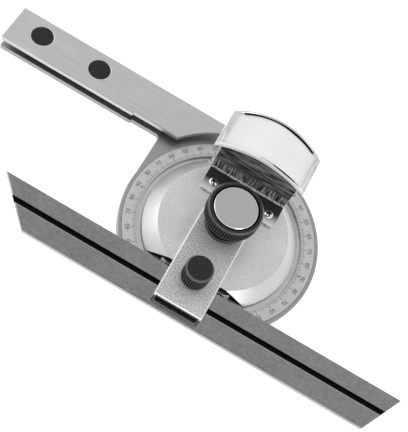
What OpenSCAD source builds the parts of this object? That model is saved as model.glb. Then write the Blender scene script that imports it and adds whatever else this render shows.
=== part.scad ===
// Bevel protractor with a magnifier: a dial body on a slotted stock, a turret that turns on it, and a
// straight blade that slides along the turret's edge and is held by a clamp jaw under the turret's arm.
// The origin is on the pivot axis at the underside. +X runs along the stock and the blade, +Y points to
// the stock, and +Z points out of the dial.

/* [Dial] */
// Radius of the dial body
body_r = 35.6; // [35:0.1:36]
// Thickness of the dial body at its rim
body_t = 2.8; // [2.6:0.1:2.9]
// Height of the dial face
face_z = 3; // [3:0.1:3.05]
// Outer radius of the graduated ring
ring_r = 34.2; // [33:0.1:34.5]
// Inner radius of the graduated ring
ring_in_r = 29.2; // [28.8:0.1:30]

/* [Stock] */
// Distance from the pivot to the stock's far end
stock_len = 100.2; // [90:0.1:120]
// Distance from the pivot to the stock's working edge
stock_y = 36.4; // [36.3:0.1:38]
// Width of the stock
stock_w = 15.6; // [14:0.1:17]
// Thickness of the lower plate
lower_t = 2.2; // [1.8:0.1:2.4]
// Height of the upper plate's top face
stock_z = 7.2; // [7:0.1:8]
// Thickness of the upper plate
upper_t = 1.9; // [1.4:0.1:1.9]
// Depth of the relief in the inner edge near the dial
relief = 0.65; // [0.2:0.05:1]
// Distance from the pivot to the relief's step
relief_x = 47; // [42:0.5:54]
// Radius of the rivets' heads
rivet_r = 3.9; // [3:0.1:4.2]

/* [Turret] */
// Radius of the turret's base
turret_r = 27.5; // [27:0.1:27.6]
// Radius of the turret's flat top
turret_top_r = 22.9; // [22:0.1:24]
// Height of the turret's flat top
turret_z = 7.4; // [7.2:0.1:8]
// Distance from the pivot to the turret's straight edge
cut_y = 20.3; // [20:0.1:20.8]
// Half width of the clamp arm
arm_hw = 8.8; // [8:0.1:9.2]
// Place of the arm's middle line along X
arm_x = -0.5; // [-0.8:0.1:0]
// Distance from the pivot to the arm's end
arm_len = 34.4; // [34:0.1:34.7]
// Thickness of the arm's plate
arm_t = 2.1; // [1.8:0.1:2.4]

/* [Blade] */
// Length of the blade along its inner edge
blade_len = 150; // [150:1:200]
// Width of the blade
blade_w = 15.3; // [15:0.1:16]
// Thickness of the blade
blade_t = 2; // [1.8:0.05:2]
// Distance from the pivot to the blade's inner edge
blade_y = 21.7; // [21.6:0.1:22]
// Width of the blade's groove
groove_w = 1.9; // [1.7:0.1:2.4]
// Depth of the blade's groove
groove_d = 1.2; // [1:0.1:1.4]

/* [Knobs] */
// Radius of the lock knob's grip
knob_r = 9.5; // [9:0.1:9.6]
// Height of the lock knob's underside at its grip
grip_z = 15.8; // [15:0.1:17]
// Radius of the lock knob's base
knob_base_r = 7.5; // [7.2:0.1:8]
// Height of the lock knob's cap
cap_z = 22.4; // [22:0.1:23]
// Radius of the lock knob's cap
cap_r = 7.55; // [7:0.05:7.8]
// Radius of the clamp knob's grip
small_r = 4.75; // [4.4:0.05:5]
// Height of the clamp knob's top
small_z = 18; // [17:0.1:18.5]
// Distance from the pivot to the clamp knob's axis
small_y = 23; // [23:0.1:24]

/* [Magnifier] */
// Half width of the lens frame
frame_hw = 17.1; // [16:0.1:18]
// Height of the lens frame's top
frame_z = 22.4; // [21:0.1:23]
// Height of the lens frame's rim
rim_h = 2; // [1.6:0.1:2.4]
// Distance from the pivot to the bracket's upright wall
wall_y = 18.1; // [17.5:0.1:18.4]
// Half width of the bracket's wall
wall_hw = 14.5; // [13:0.1:15]
// Thickness of the bracket's sheet
sheet_t = 0.8; // [0.6:0.1:0.8]

/* [Hidden] */
$fn = 96;
eps = 0.01;
seat_gap = 0.05;

// Dial body
recess_z = 1.5;
band_z = 1.9;
ring_seat_z = 1.4;
hub_r = 9.15;
hub_z = 1;
neck_x = body_r - 0.2;
neck_fillet = 1.5;
tangent_a = acos(body_r / stock_y);

// Stock
upper_z = stock_z - upper_t;
stock_arc_r = body_r + 0.7;
stock_end_x = 8;
spacer_x = 57.5;
spacer_w = 10.6;
rivet_x = [88.8, 65.5];
rivet_y = 29.5;
rivet_shank_r = 1.9;
rivet_head_t = 0.9;

// Pivot
stud_r = 4;
stud_run = 0.05;
stud_shoulder_z = 9;
thread_r = 3.4;
stud_top_z = 20;
bush_r = 6;
knob_neck_r = 6.8;
cap_gap = 0.5;

// Turret and arm
turret_under_z = recess_z + seat_gap;
turret_rim_z = 3.25;
arm_z = turret_z + arm_t;
pad_r = 24.05;
pad_y = cut_y + 1.1;
pad_z = 5;
foot_t = 1.2;
foot_z = 5.35;
foot_y = 20.5;
dowel_r = 1;
dowel_x = 5.6;
dowel_y = 12;

// Vernier
vernier_r = ring_in_r - 0.1;
vernier_y = 19.6;
vernier_a = 33;
vernier_z = 2.25;
vernier_screw_r = 24.5;
vernier_screw_a = 20;

// Blade, jaw and clamp screw
blade_z = face_z + 0.1;
blade_top_z = blade_z + blade_t;
blade_x = 71;
mitre_right = 8.8;
groove_y = blade_y + 7.18;
groove_run = 0.08;
jaw_z = 5.3;
jaw_t = 1.6;
jaw_hw = 7.2;
jaw_inner_y = 21;
jaw_len = 11.8;
key_d = 0.9;
screw_r = 1.5;
screw_run = 0.06;

// Magnifier
mag_x = 0.3;
low_arc_r = 42.3;
low_arc_y = -21.1;
top_arc_r = 26;
top_arc_y = 13.2;
shelf_z = frame_z - rim_h;
lens_ledge = 0.8;
flange_y = 8.3;
flange_corner = 1.5;
flange_notch_r = 10;
bracket_screw_x = 11;
bracket_screw_y = 12.4;
bracket_screw_r = 0.8;
bracket_head_r = 1.6;

// A ring between two radii, standing on z.
module ring(r_out, r_in, z, h) {
    translate([0, 0, z])
        difference() {
            cylinder(r = r_out, h = h);
            translate([0, 0, -1]) cylinder(r = r_in, h = h + 2);
        }
}

// The wedge of the plane within an angle each side of +Y.
module wedge(angle, reach) {
    polygon([[0, 0], [-reach * tan(angle), reach], [reach * tan(angle), reach]]);
}

// Inner edge of a stock plate with its relief, from the far end to x.
module stock_outline(x_end) {
    low_y = stock_y - stock_w;
    polygon([[-stock_len, low_y], [-relief_x, low_y], [-relief_x, low_y + relief],
             [x_end, low_y + relief], [x_end, stock_y], [-stock_len, stock_y]]);
}

// Places its children at each rivet's axis.
module at_rivets() {
    for (x = rivet_x)
        translate([-x, rivet_y, 0]) children();
}

module dial_body() {
    corner_y = stock_y - stock_w + relief;
    color("silver")
        difference() {
            union() {
                cylinder(r = body_r, h = body_t);
                linear_extrude(body_t)
                    polygon([[-neck_x, 0], [-neck_x, stock_y], [0, stock_y],
                             [body_r * sin(tangent_a), body_r * cos(tangent_a)], [0, 0]]);
                linear_extrude(lower_t) stock_outline(-neck_x + 1);
                linear_extrude(lower_t)
                    difference() {
                        translate([-neck_x - neck_fillet, corner_y - neck_fillet])
                            square([neck_fillet + 1, neck_fillet + 1]);
                        translate([-neck_x - neck_fillet, corner_y - neck_fillet])
                            circle(r = neck_fillet);
                    }
            }
            translate([0, 0, recess_z]) cylinder(r = turret_r + 0.15, h = body_t);
            translate([0, 0, band_z]) cylinder(r = ring_in_r + 1, h = body_t);
            ring(ring_r + seat_gap, ring_in_r - seat_gap, ring_seat_z, body_t);
            translate([0, 0, -1]) cylinder(r = hub_r, h = hub_z + 1);
            translate([0, 0, -1]) cylinder(r = stud_r + 0.02, h = 4);
            at_rivets() translate([0, 0, -1]) cylinder(r = rivet_shank_r + 0.02, h = 5);
        }
}

module dial_ring() {
    color("gainsboro") ring(ring_r, ring_in_r, ring_seat_z, face_z - ring_seat_z);
}

module stock_plate() {
    color("silver")
        difference() {
            translate([0, 0, upper_z]) linear_extrude(upper_t) stock_outline(-stock_end_x);
            translate([0, 0, upper_z - 1]) cylinder(r = stock_arc_r, h = upper_t + 2);
            at_rivets() translate([0, 0, upper_z - 1]) cylinder(r = rivet_shank_r + 0.02, h = 4);
            at_rivets() translate([0, 0, stock_z - rivet_head_t]) cylinder(r = rivet_r + 0.05, h = 2);
        }
}

module stock_spacer() {
    spacer_len = stock_len - 1.6 - spacer_x;
    color("dimgray")
        difference() {
            translate([-spacer_x - spacer_len, stock_y - spacer_w, lower_t])
                cube([spacer_len, spacer_w, upper_z - lower_t]);
            at_rivets() translate([0, 0, lower_t - 1]) cylinder(r = rivet_shank_r + 0.02, h = 6);
        }
}

module stock_rivets() {
    head_z = stock_z - rivet_head_t;
    color("black")
        at_rivets()
            union() {
                translate([0, 0, 0.3]) cylinder(r = rivet_shank_r, h = head_z - 0.3 + eps);
                translate([0, 0, head_z]) cylinder(r = rivet_r, h = rivet_head_t - 0.05);
            }
}

module pivot_stud() {
    color("dimgray")
        rotate_extrude()
            polygon([[0, 0.5], [8, 0.5], [8, hub_z], [stud_r, hub_z], [stud_r, stud_shoulder_z],
                     [thread_r, stud_shoulder_z + 0.4], [thread_r, stud_top_z - 0.5],
                     [thread_r - 0.5, stud_top_z], [0, stud_top_z]]);
}

module back_cover() {
    color("gray")
        difference() {
            cylinder(r = hub_r - seat_gap, h = 0.45);
            for (side = [-1, 1])
                translate([side * 6, 0, -1]) cylinder(r = 0.7, h = 3);
        }
}

module turret_disc() {
    color("gainsboro")
        difference() {
            union() {
                difference() {
                    rotate_extrude()
                        polygon([[bush_r + seat_gap, turret_under_z], [turret_r, turret_under_z],
                                 [turret_r, turret_rim_z], [turret_top_r, turret_z],
                                 [bush_r + seat_gap, turret_z]]);
                    translate([-turret_r - 1, -turret_r - 1, face_z + seat_gap])
                        cube([2 * turret_r + 2, turret_r + 1 - cut_y, turret_z]);
                }
                translate([0, 0, face_z])
                    linear_extrude(pad_z - face_z)
                        intersection() {
                            circle(r = pad_r);
                            translate([-turret_r, -pad_y]) square([2 * turret_r, pad_y - cut_y + 1]);
                        }
            }
            translate([0, 0, vernier_z])
                linear_extrude(turret_z)
                    intersection() {
                        wedge(vernier_a + 1, 40);
                        translate([-turret_r, vernier_y - 0.3]) square([2 * turret_r, turret_r]);
                    }
            at_bracket_screws() translate([0, 0, 4.8]) cylinder(r = bracket_screw_r + 0.02, h = 4);
            at_dowels() translate([0, 0, 4.8]) cylinder(r = dowel_r + 0.02, h = 4);
            at_vernier_screws() translate([0, 0, 1.65]) cylinder(r = 0.65, h = 4);
        }
}

module pivot_bush() {
    color("peru") ring(bush_r, stud_r + stud_run, turret_under_z, turret_z - turret_under_z);
}

// Places its children at each dowel between the arm and the turret.
module at_dowels() {
    for (side = [-1, 1])
        translate([arm_x + side * dowel_x, -dowel_y, 0]) children();
}

module clamp_arm() {
    color("lightgray")
        difference() {
            union() {
                translate([arm_x, 0, turret_z]) cylinder(r = arm_hw, h = arm_t);
                translate([arm_x - arm_hw, -arm_len, turret_z]) cube([2 * arm_hw, arm_len, arm_t]);
                for (x = [-arm_hw, arm_hw - foot_t])
                    translate([arm_x + x, -arm_len, foot_z])
                        cube([foot_t, arm_len - foot_y, turret_z - foot_z + eps]);
            }
            translate([0, 0, turret_z - 1]) cylinder(r = stud_r + 0.1, h = arm_t + 2);
            translate([arm_x, -small_y, turret_z - 1]) cylinder(r = screw_r + screw_run, h = arm_t + 2);
            at_dowels() translate([0, 0, turret_z - 1]) cylinder(r = dowel_r + 0.02, h = arm_t + 0.8);
        }
}

module arm_dowels() {
    color("gray")
        at_dowels() translate([0, 0, 5]) cylinder(r = dowel_r, h = 4);
}

// Places its children at each screw of the vernier plate.
module at_vernier_screws() {
    for (side = [-1, 1])
        rotate([0, 0, side * vernier_screw_a]) translate([0, vernier_screw_r, 0]) children();
}

module vernier_plate() {
    color("gainsboro")
        difference() {
            translate([0, 0, vernier_z])
                linear_extrude(face_z - vernier_z)
                    intersection() {
                        circle(r = vernier_r);
                        wedge(vernier_a, 40);
                        translate([-turret_r, vernier_y]) square([2 * turret_r, turret_r]);
                    }
            at_vernier_screws() translate([0, 0, vernier_z - 1]) cylinder(r = 0.65, h = 4);
        }
}

module vernier_screws() {
    color("silver")
        at_vernier_screws()
            union() {
                translate([0, 0, 1.7]) cylinder(r = 0.6, h = face_z - 1.7 + eps);
                translate([0, 0, face_z]) cylinder(r = 1.1, h = 0.5);
            }
}

// Places its children at each screw of the magnifier's bracket.
module at_bracket_screws() {
    for (side = [-1, 1])
        translate([mag_x + side * bracket_screw_x, bracket_screw_y, 0]) children();
}

// Outline of the lens frame, drawn in by an even margin at the arcs and another at its sides.
module frame_outline(margin, side_margin) {
    difference() {
        intersection() {
            translate([mag_x, top_arc_y]) circle(r = top_arc_r - margin);
            translate([mag_x - frame_hw + side_margin, 0])
                square([2 * (frame_hw - side_margin), 60]);
        }
        translate([mag_x, low_arc_y]) circle(r = low_arc_r + margin);
    }
}

// Flange outline with two rounded corners and a round notch for the lock knob.
module flange_outline() {
    difference() {
        union() {
            translate([mag_x - wall_hw, flange_y + flange_corner])
                square([2 * wall_hw, wall_y + sheet_t - flange_y - flange_corner]);
            translate([mag_x - wall_hw + flange_corner, flange_y])
                square([2 * (wall_hw - flange_corner), flange_corner + 1]);
            for (side = [-1, 1])
                translate([mag_x + side * (wall_hw - flange_corner), flange_y + flange_corner])
                    circle(r = flange_corner);
        }
        circle(r = flange_notch_r);
    }
}

module magnifier_bracket() {
    color("white")
        difference() {
            union() {
                translate([0, 0, turret_z]) linear_extrude(sheet_t) flange_outline();
                translate([mag_x - wall_hw, wall_y, turret_z])
                    cube([2 * wall_hw, sheet_t, shelf_z - turret_z]);
                translate([0, 0, shelf_z - sheet_t])
                    linear_extrude(sheet_t)
                        difference() {
                            union() {
                                frame_outline(0, 0);
                                translate([mag_x - wall_hw, wall_y]) square([2 * wall_hw, 4]);
                            }
                            frame_outline(0.9 + lens_ledge, 2 + lens_ledge);
                        }
            }
            at_bracket_screws() translate([0, 0, turret_z - 1]) cylinder(r = bracket_screw_r + 0.02, h = 3);
        }
}

module bracket_screws() {
    head_z = turret_z + sheet_t;
    dome_r = 2;
    color("white")
        at_bracket_screws()
            union() {
                translate([0, 0, 5]) cylinder(r = bracket_screw_r, h = head_z - 5 + eps);
                intersection() {
                    translate([0, 0, head_z + 0.9 - dome_r]) sphere(r = dome_r);
                    translate([0, 0, head_z]) cylinder(r = bracket_head_r, h = 2);
                }
            }
}

module lens_frame() {
    color("white")
        translate([0, 0, shelf_z])
            linear_extrude(rim_h)
                difference() {
                    frame_outline(0, 0);
                    frame_outline(0.9, 2);
                }
}

module magnifier_lens() {
    color("azure")
        translate([0, 0, shelf_z]) linear_extrude(rim_h - 0.4) frame_outline(0.9 + seat_gap, 2 + seat_gap);
}

module lock_washer() {
    color("dimgray") ring(7.2, stud_r + 0.1, arm_z, 0.35);
}

module clamp_washer() {
    color("dimgray") translate([arm_x, -small_y, 0]) ring(3.9, screw_r + 0.1, arm_z, 0.25);
}

module blade() {
    color("darkgray")
        difference() {
            translate([0, 0, blade_z])
                linear_extrude(blade_t)
                    polygon([[-blade_x, -blade_y], [blade_len - blade_x, -blade_y],
                             [blade_len - blade_x - mitre_right, -blade_y - blade_w],
                             [-blade_x + blade_w, -blade_y - blade_w]]);
            translate([-blade_x - 1, -groove_y - groove_w / 2, blade_top_z - groove_d])
                cube([blade_len + 2, groove_w, groove_d + 1]);
        }
}

module clamp_jaw() {
    key_w = groove_w - 2 * groove_run;
    color("gray")
        difference() {
            union() {
                translate([arm_x - jaw_hw, -jaw_inner_y - jaw_len, jaw_z]) cube([2 * jaw_hw, jaw_len, jaw_t]);
                translate([arm_x - jaw_hw + 0.7, -groove_y - key_w / 2, blade_top_z - key_d])
                    cube([2 * jaw_hw - 1.4, key_w, jaw_z - blade_top_z + key_d + eps]);
            }
            translate([arm_x, -small_y, jaw_z + 0.3]) cylinder(r = screw_r + screw_run, h = 3);
        }
}

module clamp_screw() {
    color("dimgray") translate([arm_x, -small_y, jaw_z + 0.5]) cylinder(r = screw_r, h = 9);
}

module clamp_knob() {
    base_z = arm_z + 0.35;
    bore_z = jaw_z + 9.6;
    top_r = small_r - 0.55;
    color([0.12, 0.12, 0.12])
        translate([arm_x, -small_y, 0])
            rotate_extrude()
                polygon([[screw_r + 0.02, base_z], [small_r - 0.4, base_z], [small_r, base_z + 1],
                         [small_r, small_z - 0.9], [top_r, small_z], [0, small_z], [0, bore_z],
                         [screw_r + 0.02, bore_z]]);
}

module lock_knob() {
    base_z = arm_z + 0.45;
    neck_z = base_z + 1.2;
    rim_z = cap_z - 0.1;
    seat_z = cap_z - 1.5;
    seat_r = cap_r + cap_gap;
    color([0.12, 0.12, 0.12])
        rotate_extrude()
            polygon([[thread_r + screw_run, base_z], [knob_base_r, base_z], [knob_base_r, neck_z - 0.3],
                     [knob_base_r - 0.3, neck_z], [knob_neck_r, neck_z], [knob_neck_r, grip_z],
                     [knob_r - 0.4, grip_z], [knob_r, grip_z + 1.2], [knob_r, rim_z - 0.6],
                     [knob_r - 0.6, rim_z], [seat_r, rim_z], [seat_r, seat_z],
                     [thread_r + screw_run, seat_z]]);
}

module lock_knob_cap() {
    seat_z = cap_z - 1.5;
    color("lightgray")
        rotate_extrude()
            polygon([[0, seat_z], [cap_r, seat_z], [cap_r, cap_z - 0.4], [cap_r - 0.4, cap_z], [0, cap_z]]);
}

dial_body();
dial_ring();
stock_plate();
stock_spacer();
stock_rivets();
pivot_stud();
back_cover();
turret_disc();
pivot_bush();
clamp_arm();
arm_dowels();
vernier_plate();
vernier_screws();
magnifier_bracket();
bracket_screws();
lens_frame();
magnifier_lens();
lock_washer();
clamp_washer();
blade();
clamp_jaw();
clamp_screw();
clamp_knob();
lock_knob();
lock_knob_cap();
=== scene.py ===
"""Looks of a bevel protractor with a magnifier (a goniometer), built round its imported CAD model.

Outlines are in millimetres in the CAD frame, and a mesh is scaled to metres as it is made. The origin is on
the pivot axis at the underside. +X runs along the stock, +Y points to the stock and +Z out of the dial.
"""

import math

import bmesh
import bpy
from mathutils import Matrix, Vector
from mathutils.geometry import tessellate_polygon


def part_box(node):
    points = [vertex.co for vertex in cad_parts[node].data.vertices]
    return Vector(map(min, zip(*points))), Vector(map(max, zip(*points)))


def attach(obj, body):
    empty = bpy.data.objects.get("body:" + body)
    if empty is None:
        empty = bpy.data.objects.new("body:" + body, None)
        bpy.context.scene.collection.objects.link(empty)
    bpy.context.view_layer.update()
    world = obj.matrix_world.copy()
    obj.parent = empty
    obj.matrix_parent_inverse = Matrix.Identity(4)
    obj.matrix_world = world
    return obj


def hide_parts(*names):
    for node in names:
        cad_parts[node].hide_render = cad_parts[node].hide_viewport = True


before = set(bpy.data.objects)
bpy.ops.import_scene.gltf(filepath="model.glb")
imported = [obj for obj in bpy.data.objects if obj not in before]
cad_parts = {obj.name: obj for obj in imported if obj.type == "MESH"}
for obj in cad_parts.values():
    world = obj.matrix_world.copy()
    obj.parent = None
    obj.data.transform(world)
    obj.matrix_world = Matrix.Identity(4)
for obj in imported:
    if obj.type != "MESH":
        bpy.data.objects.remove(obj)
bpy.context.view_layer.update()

MM = 0.001
SHARP_EDGE = math.radians(30)
FLAT_FACE = 0.999999
ROUND_STEPS = 256
CORNER = math.radians(20)
KNURL_STEPS = 8


def box_mm(node):
    """Lowest and highest corner of a CAD node, in millimetres."""
    low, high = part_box(node)
    return low / MM, high / MM


BODY_LOW, BODY_HIGH = box_mm("dial_body")
RING_LOW, RING_HIGH = box_mm("dial_ring")
PLATE_LOW, PLATE_HIGH = box_mm("stock_plate")
TURRET_LOW, TURRET_HIGH = box_mm("turret_disc")
ARM_LOW, ARM_HIGH = box_mm("clamp_arm")
BLADE_LOW, BLADE_HIGH = box_mm("blade")
FRAME_LOW, FRAME_HIGH = box_mm("lens_frame")
LENS_LOW, LENS_HIGH = box_mm("magnifier_lens")
VERNIER_LOW, VERNIER_HIGH = box_mm("vernier_plate")
LOCK_LOW, LOCK_HIGH = box_mm("lock_knob")
CLAMP_LOW, CLAMP_HIGH = box_mm("clamp_knob")
CAP_LOW, CAP_HIGH = box_mm("lock_knob_cap")

# Radii, heights and places that drive the outlines. Those with no CAD box of their own are plain values.
DISC_R = -BODY_LOW.y
STOCK_Y = BODY_HIGH.y
RING_R = RING_HIGH.y
RING_IN_R = 29.2
FACE_Z = RING_HIGH.z
TURRET_R = TURRET_HIGH.y
TURRET_TOP_R = 22.9
TURRET_RIM_Z = 3.25
CUT_Y = 20.3
ARM_X = (ARM_LOW.x + ARM_HIGH.x) / 2
ARM_HW = (ARM_HIGH.x - ARM_LOW.x) / 2
CLAMP_Y = (CLAMP_LOW.y + CLAMP_HIGH.y) / 2
RELIEF_X = 47
RELIEF = 0.65
NECK_X = DISC_R - 0.2
RIVETS = (-88.8, -65.5)
RIVET_Y = 29.5
RIVET_R = 3.9
STUD_HOLE_R = 4.1
MARK_RISE = 0.02
MAG_X = (FRAME_LOW.x + FRAME_HIGH.x) / 2
BRACKET_FRONT = box_mm("magnifier_bracket")[0].y
SHEET = 0.8
FLANGE_TOP = TURRET_HIGH.z + SHEET
SHELF_LOW = FRAME_LOW.z - SHEET
TOP_ARC_R = 26
TOP_ARC_Y = FRAME_HIGH.y - TOP_ARC_R
LOW_ARC_R = 42.3
LOW_ARC_Y = -21.1
CUTTER_OVER = 1


# Outlines and profiles


def polar(radius, degrees, centre=(0, 0)):
    angle = math.radians(degrees)
    return (centre[0] + radius * math.cos(angle), centre[1] + radius * math.sin(angle))


def arc(radius, start, end, centre=(0, 0), steps=64):
    """Points of an arc between two angles in degrees, both ends with it."""
    return [polar(radius, start + (end - start) * i / steps, centre) for i in range(steps + 1)]


def circle(radius, centre=(0, 0), steps=96):
    return arc(radius, 0, 360, centre, steps)[:-1]


def rectangle(low, high):
    return [(low[0], low[1]), (high[0], low[1]), (high[0], high[1]), (low[0], high[1])]


def softened(points, size, closed=True, steps=3):
    """The points with each corner of over 20 degrees rounded by size."""
    result = []
    count = len(points)
    for i, point in enumerate(points):
        here = Vector(point)
        back = Vector(points[i - 1]) - here
        ahead = Vector(points[(i + 1) % count]) - here
        end_point = not closed and i in (0, count - 1)
        if end_point or math.pi - back.angle(ahead) < CORNER:
            result.append(tuple(here))
            continue
        reach = min(size, 0.45 * back.length, 0.45 * ahead.length)
        start = here + back.normalized() * reach
        end = here + ahead.normalized() * reach
        for k in range(steps + 1):
            t = k / steps
            result.append(tuple(start * (1 - t) ** 2 + here * 2 * t * (1 - t) + end * t**2))
    return result


def turned(loop, outer):
    """The loop anticlockwise if it is the outer one, and clockwise if it is a hole."""
    area = sum(a[0] * b[1] - b[0] * a[1] for a, b in zip(loop, loop[1:] + loop[:1]))
    return loop if (area > 0) == outer else loop[::-1]


def drawn_in(loop, inset):
    """The loop moved into the material on its left by inset."""
    result = []
    count = len(loop)
    for i, point in enumerate(loop):
        here = Vector(point)
        first = (here - Vector(loop[i - 1])).normalized()
        second = (Vector(loop[(i + 1) % count]) - here).normalized()
        side_a = Vector((-first.y, first.x))
        side_b = Vector((-second.y, second.x))
        mitre = (side_a + side_b) / max(0.25, 1 + side_a.dot(side_b))
        result.append(here + mitre * inset)
    return result


def bevelled(low, high, size, steps=2):
    """Levels (height, inset) of a plate whose edges are rounded by size."""
    angles = [math.radians(90 * k / steps) for k in range(steps + 1)]
    lower = [(low + size * (1 - math.cos(a)), size * (1 - math.sin(a))) for a in angles]
    upper = [(high - size * (1 - math.cos(a)), size * (1 - math.sin(a))) for a in reversed(angles)]
    return lower + upper


# Mesh building


def shade(work):
    """Smooth faces, with edges kept sharp where they turn far or border a flat face."""
    work.normal_update()
    for face in work.faces:
        face.smooth = True
    for edge in work.edges:
        if len(edge.link_faces) != 2:
            continue
        flat = [abs(face.normal.z) > FLAT_FACE for face in edge.link_faces]
        edge.smooth = edge.calc_face_angle(0) < SHARP_EDGE and flat[0] == flat[1]


def finished(name, work):
    """An object made from a bmesh in millimetres."""
    bmesh.ops.recalc_face_normals(work, faces=work.faces)
    shade(work)
    bmesh.ops.scale(work, vec=(MM, MM, MM), verts=work.verts)
    mesh = bpy.data.meshes.new(name)
    work.to_mesh(mesh)
    work.free()
    made = bpy.data.objects.new(name, mesh)
    bpy.context.scene.collection.objects.link(made)
    return made


def plate(name, loops, levels):
    """A flat piece. loops are closed outlines, the outer one first, and levels (height, inset) go up."""
    work = bmesh.new()
    ordered = [turned(loop, i == 0) for i, loop in enumerate(loops)]
    rows = []
    for height, inset in levels:
        row = []
        for loop in ordered:
            row.append([work.verts.new((x, y, height)) for x, y in drawn_in(loop, inset)])
        rows.append(row)
    for lower, upper in zip(rows, rows[1:]):
        for a, b in zip(lower, upper):
            for i in range(len(a)):
                j = (i + 1) % len(a)
                work.faces.new((a[i], a[j], b[j], b[i]))
    for row in (rows[0], rows[-1]):
        corners = [v for loop in row for v in loop]
        for triangle in tessellate_polygon([[v.co for v in loop] for loop in row]):
            work.faces.new([corners[i] for i in triangle])
    return finished(name, work)


def lathe(name, profile, centre=(0, 0), steps=ROUND_STEPS, closed=False, knurl=None):
    """A turned piece from (radius, height) points. knurl(radius, height, angle) shapes a grip."""
    work = bmesh.new()
    rows = []
    for radius, height in profile:
        if radius < 1e-6:
            rows.append([work.verts.new((centre[0], centre[1], height))])
            continue
        row = []
        for i in range(steps):
            angle = 360 * i / steps
            reach = knurl(radius, height, angle) if knurl else radius
            x, y = polar(reach, angle, centre)
            row.append(work.verts.new((x, y, height)))
        rows.append(row)
    pairs = list(zip(rows, rows[1:])) + ([(rows[-1], rows[0])] if closed else [])
    for a, b in pairs:
        for i in range(steps):
            j = (i + 1) % steps
            ring = [a[i % len(a)], a[j % len(a)], b[j % len(b)], b[i % len(b)]]
            work.faces.new(list(dict.fromkeys(ring)))
    return finished(name, work)


def combined(piece, tools, operation="DIFFERENCE"):
    """The piece with the tools cut from it, joined to it or met with it. The tools are used up."""
    for tool in tools:
        step = piece.modifiers.new("shape", "BOOLEAN")
        step.operation = operation
        step.solver = "EXACT"
        step.object = tool
    bpy.context.view_layer.update()
    shaped = piece.evaluated_get(bpy.context.evaluated_depsgraph_get())
    mesh = bpy.data.meshes.new_from_object(shaped)
    piece.modifiers.clear()
    mesh.name = piece.name
    piece.data = mesh
    for tool in tools:
        bpy.data.objects.remove(tool)
    work = bmesh.new()
    work.from_mesh(mesh)
    bmesh.ops.remove_doubles(work, verts=work.verts, dist=1e-7)
    bmesh.ops.dissolve_degenerate(work, edges=work.edges, dist=1e-7)
    shade(work)
    work.to_mesh(mesh)
    work.free()
    return piece


def tilted(piece, matrix):
    """The piece with its mesh turned by a matrix."""
    piece.data.transform(matrix)
    work = bmesh.new()
    work.from_mesh(piece.data)
    shade(work)
    work.to_mesh(piece.data)
    work.free()
    return piece


def fitted(piece, body, slot, nodes, *materials):
    """Gives a piece its materials and its body, and hides the CAD nodes that it stands for; slot is not
    used.
    """
    for material in materials:
        piece.data.materials.append(material)
    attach(piece, body)
    if nodes:
        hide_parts(*nodes)
    return piece


# Materials


class Finish:
    """A node material with a Principled shader and short calls for what it needs."""

    def __init__(self, name):
        self.material = bpy.data.materials.new(name)
        self.material.use_nodes = True
        self.tree = self.material.node_tree
        self.shader = self.tree.nodes["Principled BSDF"]
        self.place = self.add("ShaderNodeTexCoord").outputs["Object"]

    def add(self, kind, **values):
        node = self.tree.nodes.new(kind)
        for key, value in values.items():
            setattr(node, key, value)
        return node

    def link(self, source, target):
        self.tree.links.new(source, target)

    def noise(self, sizes, detail=3.0):
        """Noise whose marks have these sizes in millimetres along X, Y and Z."""
        mapping = self.add("ShaderNodeMapping")
        mapping.inputs["Scale"].default_value = [1 / (size * MM) for size in sizes]
        texture = self.add("ShaderNodeTexNoise")
        texture.inputs["Scale"].default_value = 1.0
        texture.inputs["Detail"].default_value = detail
        self.link(self.place, mapping.inputs["Vector"])
        self.link(mapping.outputs["Vector"], texture.inputs["Vector"])
        return texture.outputs["Fac"]

    def ranged(self, source, low, high, start=0.3, end=0.7):
        """The source's range from start to end brought to low and high."""
        node = self.add("ShaderNodeMapRange")
        node.inputs["From Min"].default_value = start
        node.inputs["From Max"].default_value = end
        node.inputs["To Min"].default_value = low
        node.inputs["To Max"].default_value = high
        self.link(source, node.inputs["Value"])
        return node.outputs["Result"]

    def sum(self, first, second):
        node = self.add("ShaderNodeMath", operation="ADD")
        self.link(first, node.inputs[0])
        self.link(second, node.inputs[1])
        return node.outputs["Value"]

    def mix(self, factor):
        """A colour mix by a factor, with its two colour inputs and its result."""
        node = self.add("ShaderNodeMix", data_type="RGBA")
        self.link(factor, node.inputs["Factor"])
        colours = [socket for socket in node.inputs if socket.type == "RGBA"]
        results = [socket for socket in node.outputs if socket.type == "RGBA"]
        return colours, results[0]

    def blend(self, factor, low, high):
        """A colour between two set ones."""
        colours, result = self.mix(factor)
        colours[0].default_value = (*low, 1)
        colours[1].default_value = (*high, 1)
        return result

    def along(self, axis, low, high, start, end):
        """A value that goes from low to high between two places in millimetres on an axis."""
        parts = self.add("ShaderNodeSeparateXYZ")
        self.link(self.place, parts.inputs["Vector"])
        return self.ranged(parts.outputs[axis], low, high, start * MM, end * MM)

    def bump(self, height, strength, depth):
        """Relief with a depth in millimetres."""
        node = self.add("ShaderNodeBump")
        node.inputs["Strength"].default_value = strength
        node.inputs["Distance"].default_value = depth * MM
        self.link(height, node.inputs["Height"])
        self.link(node.outputs["Normal"], self.shader.inputs["Normal"])


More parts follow.
